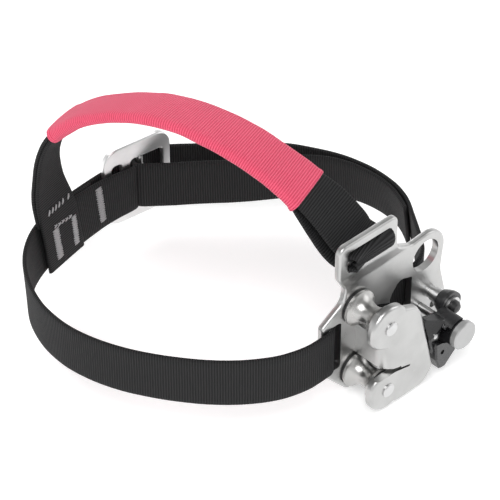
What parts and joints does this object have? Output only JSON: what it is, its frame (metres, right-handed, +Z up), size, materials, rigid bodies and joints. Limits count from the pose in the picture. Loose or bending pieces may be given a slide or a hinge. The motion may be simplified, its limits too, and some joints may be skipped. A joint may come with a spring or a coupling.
{
  "type": "foot ascender",
  "caption": "Foot-mounted rope ascender: steel body with rope rollers and a toothed cam, heel strap with buckle and a sleeved strap under the foot.",
  "frame": {"origin": "centre of the carabiner eye, halfway through the body plate", "axes": "+Z up along the rope, -Y out of the plate's rope side, +X across the plate towards the cam's pivot"},
  "size_m": [0.1727, 0.179, 0.1215],
  "materials": {
    "plate_steel": "tumbled stainless steel, satin",
    "roller_steel": "turned stainless steel, bright",
    "pin_steel": "stainless steel, machined",
    "cam_steel": "cast steel, blackened",
    "spring_steel": "spring steel wire",
    "washer_dark": "dark nylon",
    "bush_bronze": "sintered bronze",
    "lever_black": "black coated casting, semi gloss",
    "cap_black": "black moulded cap",
    "knob_steel": "machined stainless steel, fine ground face",
    "seal_rubber": "black rubber",
    "webbing_black": "black polyester webbing, ribbed weave",
    "sleeve_pink": "coral pink tubular webbing, ribbed",
    "thread_grey": "grey sewing thread",
    "buckle_steel": "stainless steel, tumbled"
  },
  "bodies": {
    "ascender_body": {"frame": "plate_steel", "upper_roller_pin": "pin_steel", "lower_roller_pin": "pin_steel", "upper_roller_washers": "washer_dark", "lower_roller_washers": "washer_dark", "strap_bar": "pin_steel", "cam_pin": "pin_steel", "cam_washer": "pin_steel", "cam_cap": "cap_black", "cam_spacer": "pin_steel", "heel_strap": "webbing_black", "tail_strap": "webbing_black", "anchor_loop": "webbing_black", "foot_strap": "webbing_black", "foot_strap_loop": "webbing_black", "foot_strap_sleeve": "sleeve_pink", "stitching": "thread_grey", "buckle_frame": "buckle_steel", "buckle_lock_bar": "pin_steel"},
    "upper_roller_body": {"upper_roller": "roller_steel", "upper_roller_bush": "bush_bronze"},
    "lower_roller_body": {"lower_roller": "roller_steel", "lower_roller_bush": "bush_bronze"},
    "cam_body": {"cam": "cam_steel", "cam_spring": "spring_steel", "release_lever": "lever_black", "lever_rivets": "pin_steel", "plunger_spring": "spring_steel"},
    "knob_body": {"plunger": "pin_steel", "knob": "knob_steel", "knob_seal": "seal_rubber"}
  },
  "joints": [
    {"name": "upper_roller_spin", "type": "hinge", "parent": "ascender_body", "child": "upper_roller_body", "pos_m": [-0.0422, -0.0101, -0.004], "axis": [0, 1, 0], "continuous": true},
    {"name": "lower_roller_spin", "type": "hinge", "parent": "ascender_body", "child": "lower_roller_body", "pos_m": [-0.0422, -0.0101, -0.0392], "axis": [0, 1, 0], "continuous": true},
    {"name": "cam_pivot", "type": "hinge", "parent": "ascender_body", "child": "cam_body", "pos_m": [0.005, -0.0105, -0.0238], "axis": [0, -1, 0], "range_deg": [0, 70], "stiffness_Nm_per_rad": 0.05, "springref_deg": -34.38},
    {"name": "knob_pull", "type": "slide", "parent": "cam_body", "child": "knob_body", "axis": [0, -1, 0], "range_m": [0, 0.0035], "stiffness_N_per_m": 600, "springref_m": -0.004, "deforming": ["plunger_spring"]}
  ]
}
